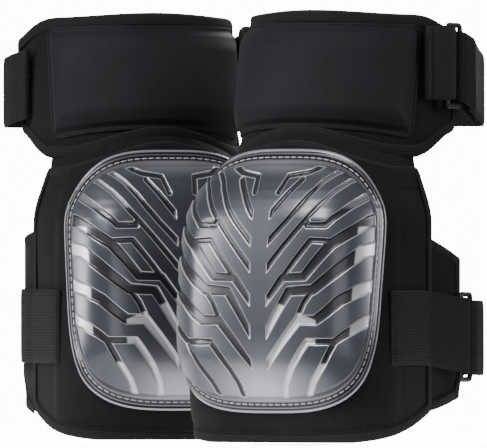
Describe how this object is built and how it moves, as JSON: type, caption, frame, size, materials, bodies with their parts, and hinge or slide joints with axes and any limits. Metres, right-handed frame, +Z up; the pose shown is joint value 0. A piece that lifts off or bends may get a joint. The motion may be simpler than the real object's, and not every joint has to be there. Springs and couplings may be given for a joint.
{
  "type": "knee pads",
  "caption": "Pair of black padded knee pads with clear moulded treaded caps, quilted thigh panels and elastic leg straps.",
  "frame": {"origin": "midway between the two leg axes, level with the middle of the knee caps", "axes": "+Z up along the legs, -Y towards the front of the knees, +X towards the right as seen from the front"},
  "size_m": [0.3178, 0.3929, 0.28],
  "materials": {
    "black_neoprene": "matte",
    "foam": "matte",
    "gel": "satin",
    "lining": "matte",
    "binding": "matte",
    "clear_cap": "glossy",
    "cap_filler": "satin",
    "thread": "satin",
    "elastic": "matte",
    "webbing": "satin",
    "pocket_twill": "satin",
    "loop_tape": "matte",
    "hook_tape": "matte",
    "ring_plastic": "satin"
  },
  "bodies": {
    "left_knee": {"left_knee_cover": "black_neoprene", "left_foam_core": "foam", "left_gel_insert": "gel", "left_knee_lining": "lining", "left_hem_binding": "binding", "left_knee_cap": "clear_cap", "left_cap_backing": "cap_filler", "left_cap_stitching": "thread", "left_calf_wing_left": "black_neoprene", "left_calf_wing_right": "black_neoprene", "left_wing_binding_left": "binding", "left_wing_binding_right": "binding", "left_calf_tab": "elastic", "left_calf_strap": "elastic", "left_calf_loop_patch": "loop_tape"},
    "left_thigh": {"left_thigh_panel": "black_neoprene", "left_thigh_foam": "foam", "left_thigh_lining": "lining", "left_thigh_pocket": "pocket_twill", "left_pocket_foam": "foam", "left_thigh_top_binding": "binding", "left_thigh_hem_binding": "binding", "left_thigh_tab": "webbing", "left_thigh_strap": "elastic", "left_thigh_loop_patch": "loop_tape"},
    "left_calf_ring": {"left_calf_ring": "ring_plastic"},
    "left_calf_flap": {"left_calf_strap_end": "elastic", "left_calf_hook_tape": "hook_tape"},
    "left_thigh_ring": {"left_thigh_ring": "ring_plastic"},
    "left_thigh_flap": {"left_thigh_strap_end": "webbing"},
    "right_knee": {"right_knee_cover": "black_neoprene", "right_foam_core": "foam", "right_gel_insert": "gel", "right_knee_lining": "lining", "right_hem_binding": "binding", "right_knee_cap": "clear_cap", "right_cap_backing": "cap_filler", "right_cap_stitching": "thread", "right_calf_wing_left": "black_neoprene", "right_calf_wing_right": "black_neoprene", "right_wing_binding_left": "binding", "right_wing_binding_right": "binding", "right_calf_tab": "elastic", "right_calf_strap": "elastic", "right_calf_loop_patch": "loop_tape"},
    "right_thigh": {"right_thigh_panel": "black_neoprene", "right_thigh_foam": "foam", "right_thigh_lining": "lining", "right_thigh_pocket": "pocket_twill", "right_pocket_foam": "foam", "right_thigh_top_binding": "binding", "right_thigh_hem_binding": "binding", "right_thigh_tab": "webbing", "right_thigh_strap": "elastic", "right_thigh_loop_patch": "loop_tape"},
    "right_calf_ring": {"right_calf_ring": "ring_plastic"},
    "right_calf_flap": {"right_calf_strap_end": "elastic", "right_calf_hook_tape": "hook_tape"},
    "right_thigh_ring": {"right_thigh_ring": "ring_plastic"},
    "right_thigh_flap": {"right_thigh_strap_end": "webbing"}
  },
  "joints": [
    {"name": "right_pad_step", "type": "slide", "parent": "left_knee", "child": "right_knee", "axis": [1, 0, 0], "range_m": [0, 0.12]},
    {"name": "left_thigh_fold", "type": "hinge", "parent": "left_knee", "child": "left_thigh", "pos_m": [-0.05909, 0.0432, 0.09], "axis": [-0.9511, -0.309, 0], "range_deg": [-5, 20]},
    {"name": "left_calf_ring_swivel", "type": "hinge", "parent": "left_knee", "child": "left_calf_ring", "pos_m": [0.00886, 0.10737, -0.03671], "axis": [0, 0, 1], "range_deg": [-2, 4]},
    {"name": "left_calf_end_peel", "type": "hinge", "parent": "left_knee", "child": "left_calf_flap", "pos_m": [0.00426, 0.13279, -0.03671], "axis": [0, 0, -1], "range_deg": [0, 100]},
    {"name": "left_thigh_ring_swivel", "type": "hinge", "parent": "left_thigh", "child": "left_thigh_ring", "pos_m": [0.00605, 0.09798, 0.14045], "axis": [0, 0, 1], "range_deg": [-2, 4]},
    {"name": "left_thigh_end_peel", "type": "hinge", "parent": "left_thigh", "child": "left_thigh_flap", "pos_m": [0.00548, 0.12381, 0.14045], "axis": [0, 0, -1], "range_deg": [0, 100]},
    {"name": "right_thigh_fold", "type": "hinge", "parent": "right_knee", "child": "right_thigh", "pos_m": [0.05118, -0.12536, 0.09], "axis": [-0.8746, 0.4848, 0], "range_deg": [-5, 20]},
    {"name": "right_calf_ring_swivel", "type": "hinge", "parent": "right_knee", "child": "right_calf_ring", "pos_m": [0.14446, -0.13129, -0.03671], "axis": [0, 0, 1], "range_deg": [-2, 4]},
    {"name": "right_calf_end_peel", "type": "hinge", "parent": "right_knee", "child": "right_calf_flap", "pos_m": [0.15991, -0.11059, -0.03671], "axis": [0, 0, -1], "range_deg": [0, 100]},
    {"name": "right_thigh_ring_swivel", "type": "hinge", "parent": "right_thigh", "child": "right_thigh_ring", "pos_m": [0.13567, -0.13564, 0.14045], "axis": [0, 0, 1], "range_deg": [-2, 4]},
    {"name": "right_thigh_end_peel", "type": "hinge", "parent": "right_thigh", "child": "right_thigh_flap", "pos_m": [0.15418, -0.11761, 0.14045], "axis": [0, 0, -1], "range_deg": [0, 100]}
  ]
}
